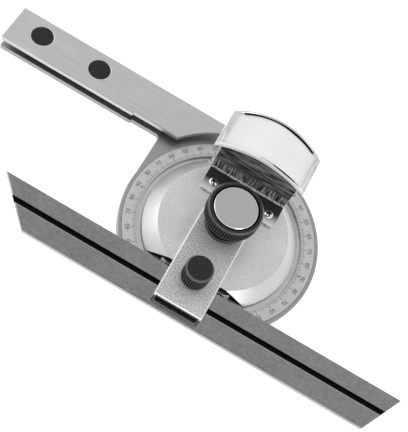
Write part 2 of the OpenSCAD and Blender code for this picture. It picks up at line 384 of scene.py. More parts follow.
def surface(
    name,
    colour,
    rough,
    grain,
    spread,
    bump=0.15,
    depth=0.01,
    mottle=0.3,
    metallic=1.0,
    patch=9,
    shine=0.5,
):
    """A machined, cast or blasted surface. grain is the size of its marks in millimetres."""
    finish = Finish(name)
    marks = finish.noise(grain)
    clouds = finish.noise((patch, patch, patch), 2.0)
    factor = finish.sum(finish.ranged(marks, 0.0, 1 - mottle), finish.ranged(clouds, 0.0, mottle))
    low = [c * (1 - spread) for c in colour]
    high = [min(1.0, c * (1 + spread)) for c in colour]
    finish.link(finish.blend(factor, low, high), finish.shader.inputs["Base Color"])
    finish.link(finish.ranged(marks, rough * 0.85, rough * 1.15), finish.shader.inputs["Roughness"])
    finish.shader.inputs["Metallic"].default_value = metallic
    finish.shader.inputs["Specular IOR Level"].default_value = shine
    finish.bump(marks, bump, depth)
    return finish.material


def grey(tone):
    return (tone, tone, tone)


def even(size):
    """Marks of one size along every axis."""
    return (size, size, size)


# Name, colour, roughness, grain, spread of tone, strength and depth of relief, and share of large clouds.
STOCK_STEEL = surface("ground_stock_steel", grey(0.58), 0.38, (14, 0.4, 0.4), 0.12, 0.1, 0.005, 0.2)
BODY_STEEL = surface("ground_body_steel", grey(0.38), 0.4, even(0.6), 0.12, 0.2, 0.01)
DIAL_CHROME = surface("satin_dial_chrome", grey(0.62), 0.42, even(0.6), 0.12, 0.25, 0.015, 0.4, patch=4)
TURRET_TOP = surface("blasted_turret_chrome", grey(0.72), 0.45, even(0.5), 0.2, 0.5, 0.03, 0.2)
TURRET_CONE = surface("turned_turret_chrome", grey(0.66), 0.4, (0.5, 0.5, 0.3), 0.1, 0.3, 0.015, 0.2)
ARM_CHROME = surface("blasted_arm_chrome", grey(0.62), 0.5, even(0.5), 0.45, 0.8, 0.05, 0.1, 0.5)
ARM_EDGE = surface("bright_arm_edge", grey(0.9), 0.25, even(0.5), 0.05, 0.1, 0.005)
BLADE_STEEL = surface("ground_blade_steel", grey(0.275), 0.2, (1.2, 0.6, 0.6), 0.22, 0.12, 0.004, 0.3)
BLADE_EDGE = surface("bright_blade_edge", grey(0.42), 0.3, (9, 0.22, 0.22), 0.06, 0.1, 0.004)
DARK_STEEL = surface("dark_steel", grey(0.16), 0.4, even(0.8), 0.15, 0.15, 0.006)
BRONZE = surface("bronze", (0.55, 0.33, 0.15), 0.35, even(0.6), 0.12, 0.15, 0.006)
SCREW_STEEL = surface("bright_screw_steel", grey(0.85), 0.14, even(0.4), 0.05, 0.08, 0.004)
CAP_STEEL = surface("satin_cap_steel", grey(0.49), 0.35, even(0.5), 0.03, 0.08, 0.004)
BRIGHT_CHROME = surface("mirror_chrome", grey(0.92), 0.07, even(2.5), 0.03, 0.08, 0.01)
# The fold's colour is painted glints: a strong spread of tone makes bright dots that stand for highlights
# on the bend.
FOLD_PAINTED_GLINTS = surface("fold_painted_glints", grey(0.85), 0.3, even(0.6), 0.95, 0.4, 0.03, 0.1, 0.0)
# Painted highlight: a non-metal white that stands for the bright reflection along the frame's lower edge.
FRAME_FRONT_HIGHLIGHT = surface("frame_front_painted_highlight", grey(0.93), 0.25, even(0.5), 0.05, 0.1, 0.005, metallic=0.0)
FRAME_CHROME = surface("brushed_frame_chrome", grey(0.78), 0.22, (0.4, 6, 6), 0.3, 0.1, 0.005, 0.1)
INK = surface("black_ink", grey(0.09), 0.6, even(0.2), 0.3, 0.1, 0.003, metallic=0.0)
# Painted highlight: a lighter grey on the knobs' chamfers stands for the light they catch.
KNOB_EDGE_HIGHLIGHT = surface("knob_edge_painted_highlight", grey(0.075), 0.35, even(0.6), 0.5, 0.2, 0.01, metallic=0.0)
# Black that stands for shade in grooves, slots, hollows and gaps: painted shade, used on many parts.
PAINTED_SHADE_BLACK = surface(
    "painted_shade_black", grey(0.004), 0.6, (4, 0.3, 0.3), 0.3, 0.1, 0.005, metallic=0.0, shine=0.08
)
BLACK_STEEL = surface(
    "blackened_steel", grey(0.012), 0.45, even(0.5), 0.3, 0.2, 0.01, metallic=0.2, shine=0.35
)
BLACK_GRIP = surface(
    "black_grip", grey(0.035), 0.4, (0.5, 0.5, 0.9), 0.6, 0.15, 0.008, metallic=0.0, shine=0.2
)
KNOB_TOP = surface(
    "black_knob_face", grey(0.022), 0.45, even(0.9), 0.4, 0.15, 0.008, metallic=0.0, shine=0.2
)


def streaked_wall():
    """Bright sheet whose colour is a painted reflection: dark upright stripes near its fold, like the
    ribbed black knob seen in it, and level streaks near the lens.
    """
    change_low = 12.5
    change_high = 14.5
    finish = Finish("wall_painted_reflection")
    # Painted reflection: the upright stripes stand for the ribbed knob seen in the wall, the level streaks
    # for other parts seen in it.
    upright = finish.ranged(finish.noise((0.45, 9, 7), 1.0), 0.0, 1.0, 0.42, 0.62)
    level = finish.ranged(finish.noise((7, 0.7, 0.8), 2.0), 0.0, 1.0, 0.42, 0.7)
    colours, result = finish.mix(finish.along("Z", 0.0, 1.0, change_low, change_high))
    finish.link(finish.blend(upright, grey(0.012), grey(0.42)), colours[0])
    finish.link(finish.blend(level, grey(0.015), grey(0.22)), colours[1])
    finish.link(result, finish.shader.inputs["Base Color"])
    finish.shader.inputs["Roughness"].default_value = 0.4
    finish.shader.inputs["Specular IOR Level"].default_value = 0.2
    finish.bump(upright, 0.3, 0.03)
    return finish.material


def flange_chrome():
    """Bright sheet with painted shade: dark at its fold, under the wall, going to light at its front edge.
    """
    dark_y = 13.5
    light_y = 9.3
    finish = Finish("flange_chrome")
    # Painted shade: the colour darkens towards the fold, under the wall.
    colour = finish.blend(finish.along("Y", 0.0, 1.0, dark_y, light_y), grey(0.03), grey(0.8))
    finish.link(colour, finish.shader.inputs["Base Color"])
    finish.link(finish.ranged(finish.noise(even(0.5)), 0.25, 0.4), finish.shader.inputs["Roughness"])
    finish.shader.inputs["Specular IOR Level"].default_value = 0.2
    return finish.material


def lens_material():
    """Lens glass shown by a painted white sheen: an opaque white colour stands for the studio's reflection
    in it.
    """
    finish = Finish("lens_glass")
    clouds = finish.noise(even(16), 1.0)
    # Painted sheen: the white colour stands for the reflection of the bright studio.
    colour = finish.blend(finish.ranged(clouds, 0.0, 1.0), (0.86, 0.865, 0.87), (0.94, 0.945, 0.95))
    finish.link(colour, finish.shader.inputs["Base Color"])
    finish.link(finish.ranged(clouds, 0.04, 0.07), finish.shader.inputs["Roughness"])
    finish.shader.inputs["IOR"].default_value = 1.52
    finish.shader.inputs["Coat Weight"].default_value = 0.4
    finish.shader.inputs["Coat Roughness"].default_value = 0.03
    return finish.material


WALL_PAINTED_REFLECTION = streaked_wall()
FLANGE_PAINTED_SHADE = flange_chrome()
LENS_PAINTED_SHEEN = lens_material()


def paint_faces(piece, choose):
    """Gives each face the material that choose(normal, centre in mm) numbers."""
    for face in piece.data.polygons:
        face.material_index = choose(face.normal, face.center / MM)


# Base: body, stock, dial


def stock_side(far):
    """Both stock plates' outline on the side towards the blade, from the far end to the relief."""
    return [(far, PLATE_LOW.y), (-RELIEF_X, PLATE_LOW.y), (-RELIEF_X, PLATE_LOW.y + RELIEF)]


def make_dial_body():
    """The dial and the stock's lower plate in one, with the recess for the ring and the turret."""
    fillet = 1.5
    meet = 180 - math.degrees(math.acos(NECK_X / DISC_R))
    tangent = 90 - math.degrees(math.acos(DISC_R / STOCK_Y))
    far = BODY_LOW.x
    outline = stock_side(far)
    outline += arc(fillet, 90, 0, (-NECK_X - fillet, PLATE_LOW.y + RELIEF - fillet), 8)
    outline += arc(DISC_R, meet, 360 + tangent, steps=200)
    outline += [(0, STOCK_Y), (far, STOCK_Y)]
    body = plate("dial_body_disc", [outline], bevelled(0, BODY_HIGH.z, 0.25))
    bed_z = 1.5
    bed_r = TURRET_R + 0.15
    step_z = 1.9
    step_r = RING_IN_R - 0.05
    seat_r = RING_R + 0.12
    above = 6
    recess = [(0, bed_z), (bed_r, bed_z), (bed_r, step_z), (step_r, step_z)]
    recess += [(step_r, RING_LOW.z), (seat_r, RING_LOW.z), (seat_r, above), (0, above)]
    hub_r = 9.15
    hub_z = 1
    hub = [(0, -CUTTER_OVER), (hub_r, -CUTTER_OVER), (hub_r, hub_z), (0, hub_z)]
    lower_plate_z = 2.2
    stock_cut = rectangle((far - 1, PLATE_LOW.y - 5), (-NECK_X, STOCK_Y + 5))
    tools = [
        plate("cut_stock", [stock_cut], [(lower_plate_z, 0), (above, 0)]),
        lathe("cut_recess", recess),
        lathe("cut_hub", hub, steps=96),
    ]
    combined(body, tools)

    def part(normal, centre):
        """1 for the recess floor, painted in the lighter dial chrome to lift the shade that falls in the
        recess, 0 for the rest.
        """
        inside = math.hypot(centre.x, centre.y) < RING_IN_R + 0.1
        return 1 if inside and bed_z - 0.1 < centre.z < step_z + 0.7 and normal.z > -0.1 else 0

    # The recess floor gets the lighter dial chrome as painted light, against the shade in the recess.
    paint_faces(body, part)
    fitted(body, "base", "body_steel", ["dial_body"], BODY_STEEL, DIAL_CHROME)


def make_stock():
    """The stock's upper plate, the spacer under it and the two rivets."""
    arc_r = DISC_R + 0.7
    start = 180 - math.degrees(math.asin((PLATE_LOW.y + RELIEF) / arc_r))
    end = math.degrees(math.acos(PLATE_HIGH.x / arc_r))
    far = PLATE_LOW.x
    outline = stock_side(far)
    outline += arc(arc_r, start, end, steps=48)
    outline += [(PLATE_HIGH.x, STOCK_Y), (far, STOCK_Y)]
    loops = [softened(outline, 0.5)]
    loops += [circle(RIVET_R + 0.05, (x, RIVET_Y)) for x in RIVETS]
    upper = plate("stock_upper_plate", loops, bevelled(PLATE_LOW.z, PLATE_HIGH.z, 0.25))
    fitted(upper, "base", "stock_steel", ["stock_plate"], STOCK_STEEL)
    low, high = box_mm("stock_spacer")
    spacer = plate("stock_spacer_block", [rectangle(low, high)], bevelled(low.z, high.z, 0.1))
    fitted(spacer, "base", "dark_steel", ["stock_spacer"], DARK_STEEL)
    low, high = box_mm("stock_rivets")
    profile = [(0, high.z), (RIVET_R, high.z), (RIVET_R, PLATE_LOW.z), (0, PLATE_LOW.z)]
    profile = softened(profile, 0.3, closed=False)
    for i, x in enumerate(RIVETS):
        rivet = lathe(f"stock_rivet_{i + 1}", profile, (x, RIVET_Y), 96)
        fitted(rivet, "base", "black_steel", ["stock_rivets"], BLACK_STEEL)


def make_dial_ring():
    corners = [(RING_IN_R, RING_LOW.z), (RING_R, RING_LOW.z), (RING_R, FACE_Z), (RING_IN_R, FACE_Z)]
    ring = lathe("graduated_ring", softened(corners, 0.12), closed=True)
    fitted(ring, "base", "dial_chrome", ["dial_ring"], DIAL_CHROME)


def text_mesh(text, height):
    """A thin mesh of a number, centred on the origin."""
    curve = bpy.data.curves.new("number", "FONT")
    curve.body = text
    curve.size = height * MM
    curve.align_x = "CENTER"
    curve.align_y = "CENTER"
    curve.resolution_u = 3
    curve.extrude = MARK_RISE * MM
    writer = bpy.data.objects.new("number", curve)
    bpy.context.scene.collection.objects.link(writer)
    bpy.context.view_layer.update()
    mesh = bpy.data.meshes.new_from_object(writer.evaluated_get(bpy.context.evaluated_depsgraph_get()))
    bpy.data.objects.remove(writer)
    return mesh


def add_tick(work, degrees, start, end, width):
    """A thin bar along a radius, standing a little out of the dial's face."""
    turn = Matrix.Rotation(math.radians(degrees), 4, "Z")
    size = Matrix.Diagonal((end - start, width, 2 * MARK_RISE, 1))
    middle = Matrix.Translation(((start + end) / 2, 0, FACE_Z))
    bmesh.ops.create_cube(work, size=1, matrix=Matrix.Scale(MM, 4) @ turn @ middle @ size)


def add_number(work, mesh, degrees, radius):
    """A number with its top outwards."""
    turn = Matrix.Rotation(math.radians(degrees - 90), 4, "Z")
    copy = mesh.copy()
    copy.transform(turn @ Matrix.Translation((0, radius * MM, FACE_Z * MM)))
    work.from_mesh(copy)
    bpy.data.meshes.remove(copy)


def marks_object(name, work):
    """An object with all the marks of one part, already in metres."""
    mesh = bpy.data.meshes.new(name)
    work.to_mesh(mesh)
    work.free()
    made = bpy.data.objects.new(name, mesh)
    bpy.context.scene.collection.objects.link(made)
    return made


def make_dial_marks():
    """Degree ticks round the ring, and numbers each 10 degrees, 90 on the X axis and 0 on the Y axis."""
    start = RING_IN_R + 0.25
    number_r = 32.3
    number_size = 2.2
    block_turn = 0.9
    work = bmesh.new()
    for degree in range(360):
        if degree % 10 == 0:
            reach, width = 1.9, 0.17
        elif degree % 5 == 0:
            reach, width = 1.5, 0.14
        else:
            reach, width = 1.0, 0.09
        add_tick(work, degree, start, start + reach, width)
    numbers = {value: text_mesh(str(value), number_size) for value in range(0, 100, 10)}
    for degree in range(0, 360, 10):
        add_number(work, numbers[abs(90 - degree % 180)], degree, number_r)
    # A small block beside each mark of 90 degrees.
    for degree in (0, 180):
        add_tick(work, degree + block_turn, start + 1.2, start + 1.75, 0.5)
    fitted(marks_object("dial_marks", work), "base", None, [], INK)


def make_back_cover():
    """The cover under the pivot, with two holes for a pin spanner."""
    low, high = box_mm("back_cover")
    pin_r = 0.7
    pin_x = 6
    loops = [circle(high.x), circle(pin_r, (pin_x, 0), 32), circle(pin_r, (-pin_x, 0), 32)]
    cover = plate("back_cover_plate", loops, bevelled(low.z, high.z, 0.1))
    fitted(cover, "base", "body_steel", ["back_cover"], BODY_STEEL)


# Turret: disc, arm, vernier, magnifier


def make_turret():
    """The disc, cut flat towards the blade and hollowed for the vernier, and the pad under the arm."""
    top = TURRET_HIGH.z
    low = TURRET_LOW.z
    bore = 6.05
    profile = [(bore, low), (TURRET_R, low), (TURRET_R, TURRET_RIM_Z), (TURRET_TOP_R, top), (bore, top)]
    disc = lathe("turret_cone", softened(profile, 0.15), closed=True)
    reach = TURRET_R + 2
    blade_bed_z = 3.05
    above = top + 2
    edge = plate("cut_edge", [rectangle((-reach, -reach), (reach, -CUT_Y))], [(blade_bed_z, 0), (above, 0)])
    pocket_y = VERNIER_LOW.y - 0.3
    pocket_hw = 15
    pocket_r = 36
    pocket_half = 34
    wedge = [(-pocket_hw, pocket_y), (pocket_hw, pocket_y)]
    wedge += [polar(pocket_r, 90 - pocket_half), polar(pocket_r, 90 + pocket_half)]
    pocket = plate("cut_pocket", [wedge], [(VERNIER_LOW.z, 0), (above, 0)])
    combined(disc, [edge, pocket])

    def part(normal, centre):
        """0 for the blasted top, 1 for the cone and the sides, 2 for the face towards the blade, painted
        black as painted shade.
        """
        if normal.y < -0.99 and abs(centre.y + CUT_Y) < 0.05:
            return 2
        return 0 if normal.z > 0.99 and centre.z > top - 0.3 else 1

    # The face towards the blade is painted black: painted shade for the shadow that falls on it.
    paint_faces(disc, part)
    fitted(disc, "turret", "turret_chrome", ["turret_disc"], TURRET_TOP, TURRET_CONE, PAINTED_SHADE_BLACK)
    # The pad under the arm, whose bright ends show on both sides of it.
    pad_r = 24.05
    pad_top = 5
    side = math.degrees(math.asin((CUT_Y + 1.1) / pad_r))
    inner = math.degrees(math.asin((CUT_Y - 0.3) / pad_r))
    outline = arc(pad_r, 180 + inner, 180 + side, steps=6) + arc(pad_r, 360 - side, 360 - inner, steps=6)
    pad = plate("turret_pad", [softened(outline, 0.5)], bevelled(FACE_Z + 0.05, pad_top, 0.25))
    fitted(pad, "turret", "turret_chrome", ["turret_disc"], ARM_EDGE)


def make_arm():
    """The clamp arm, a plate with one round end and a wall down each side near the blade."""
    low = TURRET_HIGH.z
    high = ARM_HIGH.z
    screw_hole_r = 1.56
    wall = 1.2
    wall_end = -20.5
    outline = arc(ARM_HW, 0, 180, (ARM_X, 0), 64)
    outline += [(ARM_LOW.x, ARM_LOW.y), (ARM_HIGH.x, ARM_LOW.y)]
    loops = [softened(outline, 0.8), circle(STUD_HOLE_R), circle(screw_hole_r, (ARM_X, CLAMP_Y), 48)]
    arm = plate("arm_plate", loops, bevelled(low, high, 0.45, 3))
    walls = []
    for side in (-1, 1):
        inner, outer = sorted((ARM_X + side * (ARM_HW - wall), ARM_X + side * ARM_HW))
        corners = rectangle((inner, ARM_LOW.y), (outer, wall_end))
        walls.append(plate("wall", [softened(corners, 0.45)], bevelled(ARM_LOW.z, low + 1, 0.2)))
    combined(arm, walls, "UNION")
    paint_faces(arm, lambda normal, centre: 0 if normal.z > 0.99 else 1)
    fitted(arm, "turret", "arm_chrome", ["clamp_arm"], ARM_CHROME, ARM_EDGE)


def make_vernier():
    radius = VERNIER_HIGH.y
    half = 33
    low_y = VERNIER_LOW.y
    reach = low_y * math.tan(math.radians(half))
    outline = [(-reach, low_y), (reach, low_y)] + arc(radius, 90 - half, 90 + half, steps=48)
    levels = bevelled(VERNIER_LOW.z, VERNIER_HIGH.z, 0.12)
    vernier = plate("vernier_scale_plate", [softened(outline, 0.3)], levels)
    fitted(vernier, "turret", "dial_chrome", ["vernier_plate"], DIAL_CHROME)
    make_vernier_marks(radius)
    screw_r = 24.5
    screw_angle = 20
    for i, side in enumerate((-1, 1)):
        centre = polar(screw_r, 90 + side * screw_angle)
        name = f"vernier_screw_{i + 1}"
        make_screw(name, centre, "vernier_screws", radius=1.1, low=FACE_Z, high=3.5, recess=0.45)


def make_vernier_marks(radius):
    """Divisions of five minutes, twelve each way over 23 degrees, with a number each half degree."""
    work = bmesh.new()
    divisions = 12
    span = 23
    step = span / divisions
    edge = radius - 0.3
    number_r = radius - 3.1
    number_size = 1.6
    for i in range(-divisions, divisions + 1):
        reach, width = (1.9, 0.15) if i % 3 == 0 else (1.2, 0.1)
        add_tick(work, 90 + i * step, edge - reach, edge, width)
    for i in range(-divisions, divisions + 1, 6):
        add_number(work, text_mesh(str(abs(i) * 5), number_size), 90 + i * step, number_r)
    fitted(marks_object("vernier_marks", work), "turret", None, [], INK)


def make_screw(name, centre, node, radius, low, high, recess):
    """A domed screw head with a cross recess, whose floor is painted black as painted shade."""
    sides = 8
    upright = 0.35
    slot_reach = recess * 1.6
    slot_hw = recess * 0.36
    slot_low = high - 0.5
    dome = []
    for i in range(sides + 1):
        angle = math.radians(90 * i / sides)
        rise = upright + (1 - upright) * math.cos(angle)
        dome.append((radius * math.sin(angle), low + (high - low) * rise))
    head = lathe(name, dome + [(radius, low), (0, low)], centre, 64)
    slot = rectangle((-slot_reach, -slot_hw), (slot_reach, slot_hw))
    place = Matrix.Translation((centre[0] * MM, centre[1] * MM, 0))
    tools = []
    for turn in (25, 115):
        bar = plate("slot", [slot], [(slot_low, 0), (high + CUTTER_OVER, 0)])
        tools.append(tilted(bar, place @ Matrix.Rotation(math.radians(turn), 4, "Z")))
    combined(head, tools)
    # The floor of the cross recess is painted black: painted shade.
    paint_faces(head, lambda normal, middle: 1 if middle.z < slot_low + 0.15 and normal.z > 0.99 else 0)
    fitted(head, "turret", "screw_steel", [node], SCREW_STEEL, PAINTED_SHADE_BLACK)


def frame_outline(margin, side_margin):
    """Outline of the lens frame, drawn in by one margin at its arcs and another at its sides."""
    half = (FRAME_HIGH.x - FRAME_LOW.x) / 2 - side_margin
    low_r = LOW_ARC_R + margin
    top_r = TOP_ARC_R - margin
    low_a = math.degrees(math.acos(half / low_r))
    top_a = math.degrees(math.acos(half / top_r))
    lower = arc(low_r, 180 - low_a, low_a, (MAG_X, LOW_ARC_Y), 48)
    return lower + arc(top_r, top_a, 180 - top_a, (MAG_X, TOP_ARC_Y), 48)


def bracket_plan(front, half, corner):
    """The bracket seen from above, with its front corners rounded."""
    behind = 60
    right = MAG_X + half
    left = MAG_X - half
    plan = arc(corner, 270, 360, (right - corner, front + corner), 8)
    plan += [(right, behind), (left, behind)]
    return plan + arc(corner, 180, 270, (left + corner, front + corner), 8)


def make_bracket():
    """The magnifier's bent sheet, the shelf under the lens frame, and the two screws."""
    low = TURRET_HIGH.z
    shelf_z = FRAME_LOW.z
    wall_y = 18.1
    wall_back = wall_y + SHEET
    wall_hw = 14.5
    front = BRACKET_FRONT
    back = 23.2
    side_view = [(front, low), (wall_back, low), (wall_back, SHELF_LOW), (back, SHELF_LOW)]
    side_view += [(back, shelf_z), (wall_y, shelf_z), (wall_y, FLANGE_TOP), (front, FLANGE_TOP)]
    side_view = softened(softened(side_view, 0.7, steps=5), 0.1)
    bent = plate("magnifier_bracket_sheet", [side_view], [(MAG_X - wall_hw, 0), (MAG_X + wall_hw, 0)])
    tilted(bent, Matrix(((0, 0, 1, 0), (1, 0, 0, 0), (0, 1, 0, 0), (0, 0, 0, 1))))
    notch_r = 10
    notch = [(0, low - 1), (notch_r, low - 1), (notch_r, low + 3), (0, low + 3)]
    combined(bent, [plate("plan", [bracket_plan(front, wall_hw, 1.5)], [(0, 0), (40, 0)])], "INTERSECT")
    combined(bent, [lathe("notch", notch)])

    def part(normal, centre):
        """0 for the back, sides and underside, 1 for the wall with its painted reflection, 2 for the flange
        with its painted shade, 3 for the fold with its painted glints.
        """
        if normal.y >= -0.05 and normal.z <= 0.5:
            return 0
        if centre.z < FLANGE_TOP + 0.02 and normal.z > 0.99:
            return 2
        return 1 if centre.z > FLANGE_TOP + 0.6 else 3

    paint_faces(bent, part)
    # The wall, flange and fold materials carry painted reflection, painted shade and painted glints.
    metals = (BRIGHT_CHROME, WALL_PAINTED_REFLECTION, FLANGE_PAINTED_SHADE, FOLD_PAINTED_GLINTS)
    fitted(bent, "turret", "bright_chrome", ["magnifier_bracket"], *metals)
    loops = [softened(frame_outline(0.1, 0.1), 1.2), softened(frame_outline(1.7, 2.8), 0.5)]
    shelf = plate("lens_shelf", loops, bevelled(SHELF_LOW, shelf_z, 0.15))
    fitted(shelf, "turret", "bright_chrome", ["magnifier_bracket"], BRIGHT_CHROME)
    screw_x = 11
    screw_y = 12.4
    screw_top = FLANGE_TOP + 0.9
    for i, side in enumerate((-1, 1)):
        centre = (MAG_X + side * screw_x, screw_y)
        name = f"bracket_screw_{i + 1}"
        make_screw(name, centre, "bracket_screws", radius=1.6, low=FLANGE_TOP, high=screw_top, recess=0.72)


def crescent(radius, centre_y, reach, widest, half, swell):
    """A thin arc-shaped outline, from one X to another. Its half width grows by swell at the widest X."""
    outer = []
    inner = []
    steps = 40
    spread = 5
    for i in range(steps + 1):
        x = reach[0] + (reach[1] - reach[0]) * i / steps
        taper = min(1, min(i, steps - i) / steps * 20 + 0.2)
        width = (half + swell * math.exp(-(((x - widest) / spread) ** 2))) * taper
        angle = math.degrees(math.acos(x / radius))
        outer.append(polar(radius + width, angle, (MAG_X, centre_y)))
        inner.append(polar(radius - width, angle, (MAG_X, centre_y)))
    return outer + inner[::-1]


def make_magnifier():
    """The lens frame with a groove whose floor is painted black as painted shade, a dark strip of painted
    shade at the lens edge, and the lens.
    """
    top = FRAME_HIGH.z
    outer = softened(frame_outline(0, 0), 1.4, steps=6)
    window = softened(frame_outline(0.9, 2), 0.9)
    rim = plate("lens_frame_rim", [outer, window], bevelled(FRAME_LOW.z, top, 0.4, 4))
    groove_r = LOW_ARC_R + 0.5
    groove = crescent(groove_r, LOW_ARC_Y, reach=(-2, 14.5), widest=8, half=0.16, swell=0.2)
    groove_z = top - 0.6
    combined(rim, [plate("groove", [groove], [(groove_z, 0), (top + CUTTER_OVER, 0)])])
    side_band_x = 12.8

    def part(normal, centre):
        """0 for the mirror rim, 1 for its side bands, 2 for the groove's floor, painted black as painted
        shade, 3 for the lower edge, painted white as a painted highlight.
        """
        above_arc = math.hypot(centre.x - MAG_X, centre.y - LOW_ARC_Y) - LOW_ARC_R
        if 0.2 < above_arc < 0.8 and centre.z < groove_z + 0.05 and normal.z > 0.9:
            return 2
        if above_arc < 0.75 and normal.y < 0.3:
            return 3
        return 1 if normal.z > 0.5 and abs(centre.x - MAG_X) > side_band_x else 0

    # The groove's floor is painted shade and the lower edge a painted highlight.
    paint_faces(rim, part)
    metals = (BRIGHT_CHROME, FRAME_CHROME, PAINTED_SHADE_BLACK, FRAME_FRONT_HIGHLIGHT)
    fitted(rim, "turret", "bright_chrome", ["lens_frame"], *metals)
    # A dark strip along the top arc of the lens edge: painted shade where the frame shades the lens.
    shade_strip_r = TOP_ARC_R - 1.22
    shade_outline = crescent(shade_strip_r, TOP_ARC_Y, reach=(-13.5, 13.5), widest=5.5, half=0.14, swell=0.3)
    strip = plate("lens_edge_painted_shade", [shade_outline], [(LENS_HIGH.z - 0.5, 0), (LENS_HIGH.z + 0.1, 0)])
    fitted(strip, "turret", None, [], PAINTED_SHADE_BLACK)
    make_lens()


def make_lens():
    """A thin lens, its top a part of a large sphere."""
    lens = plate("lens", [frame_outline(0.95, 2.05)], [(LENS_LOW.z, 0), (LENS_HIGH.z + CUTTER_OVER, 0)])
    sphere_r = 260
    reach = 30
    below = 10
    top_y = 28
    steps = 24
    turn = math.degrees(math.asin(reach / sphere_r))
    centre = (0, LENS_HIGH.z - sphere_r)
    rise = [(0, LENS_HIGH.z)]
    rise += [polar(sphere_r, 90 - turn * i / steps, centre) for i in range(1, steps + 1)]
    dome = lathe("dome", rise + [(reach, below), (0, below)], (MAG_X, top_y))
    combined(lens, [dome], "INTERSECT")
    fitted(lens, "turret", "lens_glass", ["magnifier_lens"], LENS_PAINTED_SHEEN)


def make_washers():
    low, high = box_mm("lock_washer")
    washer = plate("lock_washer_ring", [circle(high.x), circle(STUD_HOLE_R)], bevelled(low.z, high.z, 0.1))
    fitted(washer, "turret", "dark_steel", ["lock_washer"], DARK_STEEL)
    low, high = box_mm("clamp_washer")
    middle = (ARM_X, CLAMP_Y)
    screw_hole_r = 1.6
    loops = [circle(high.x - ARM_X, middle), circle(screw_hole_r, middle, 48)]
    washer = plate("clamp_washer_ring", loops, bevelled(low.z, high.z, 0.08))
    fitted(washer, "turret", "dark_steel", ["clamp_washer"], DARK_STEEL)


# Blade and knobs


def make_blade():
    """The rule, cut at 45 degrees at one end and at 60 at the other, with its groove."""
    top = BLADE_HIGH.z
    mitre = 8.8
    inner_y = BLADE_HIGH.y
    outer_y = BLADE_LOW.y
    width = inner_y - outer_y
    outline = [(BLADE_LOW.x, inner_y), (BLADE_LOW.x + width, outer_y)]
    outline += [(BLADE_HIGH.x - mitre, outer_y), (BLADE_HIGH.x, inner_y)]
    blade = plate("blade_rule", [outline], bevelled(BLADE_LOW.z, top, 0.22))
    groove_y = inner_y - 7.18
    groove_hw = 0.95
    groove_depth = 1.2
    ledge_y = groove_y - 1.25
    ledge_depth = 0.15
    start = BLADE_LOW.x - 5
    end = BLADE_HIGH.x + 5
    groove = rectangle((start, groove_y - groove_hw), (end, groove_y + groove_hw))
    ledge = rectangle((start, ledge_y), (end, groove_y))
    tools = [
        plate("groove", [groove], [(top - groove_depth, 0), (top + CUTTER_OVER, 0)]),
        plate("ledge", [ledge], [(top - ledge_depth, 0), (top + CUTTER_OVER, 0)]),
    ]
    combined(blade, tools)

    def part(normal, centre):
        """0 for the ground faces, 1 for the edges and the groove's ledge, 2 for the groove, painted black
        as painted shade.
        """
        if abs(normal.x) > 0.3:
            return 1
        off_groove = abs(centre.y - groove_y)
        if off_groove < groove_hw + 0.02 and top - 1.6 < centre.z < top - 0.05:
            return 2
        on_ledge = off_groove < groove_y - ledge_y + 0.01 and centre.z < top - 0.02
        return 1 if abs(normal.z) < 0.3 or on_ledge else 0

    # The groove is painted black: painted shade in it.
    paint_faces(blade, part)
    fitted(blade, "blade", "blade_steel", ["blade"], BLADE_STEEL, BLADE_EDGE, PAINTED_SHADE_BLACK)


def ribbed(teeth, depth, low, high, reach_r):
    """A straight knurl of so many teeth on the part beyond reach_r, between two heights."""

    def reach(radius, height, angle):
        if height < low or height > high or radius < reach_r:
            return radius
        phase = (angle * teeth / 360) % 1
        return radius - depth * abs(2 * phase - 1) ** 1.5

    return reach


def make_clamp_knob():
    """The ribbed knob over the clamp arm's end."""
    radius = (CLAMP_HIGH.x - CLAMP_LOW.x) / 2
    low = CLAMP_LOW.z
    high = CLAMP_HIGH.z
    bore = 1.52
    bore_top = 14.95
    rim_z = high - 0.9
    profile = [(0, bore_top), (bore, bore_top), (bore, low), (radius - 0.4, low)]
    profile += [(radius - 0.15, low + 0.5), (radius, low + 1), (radius, low + 4)]
    profile += [(radius, rim_z), (radius - 0.55, high), (0, high)]
    teeth = 36
    grip = ribbed(teeth, 0.28, low + 0.9, rim_z - 0.05, radius - 0.1)
    profile = softened(profile, 0.06, closed=False, steps=2)
    knob = lathe("clamp_knob_grip", profile, (ARM_X, CLAMP_Y), teeth * KNURL_STEPS, knurl=grip)

    def part(normal, centre):
        """0 for the ribs, 1 for the top, 2 for its chamfer with a painted highlight, 3 for the valleys
        between the ribs, painted black as painted shade.
        """
        reach = math.hypot(centre.x - ARM_X, centre.y - CLAMP_Y)
        if centre.z > high - 0.02:
            return 1
        if centre.z > rim_z + 0.02:
            return 2
        return 3 if centre.z > low + 0.9 and reach < radius - 0.13 else 0

    # The chamfer carries a painted highlight and the valleys between the ribs painted shade.
    paint_faces(knob, part)
    finishes = (BLACK_GRIP, KNOB_TOP, KNOB_EDGE_HIGHLIGHT, PAINTED_SHADE_BLACK)
    fitted(knob, "clamp_knob", "black_knob", ["clamp_knob"], *finishes)


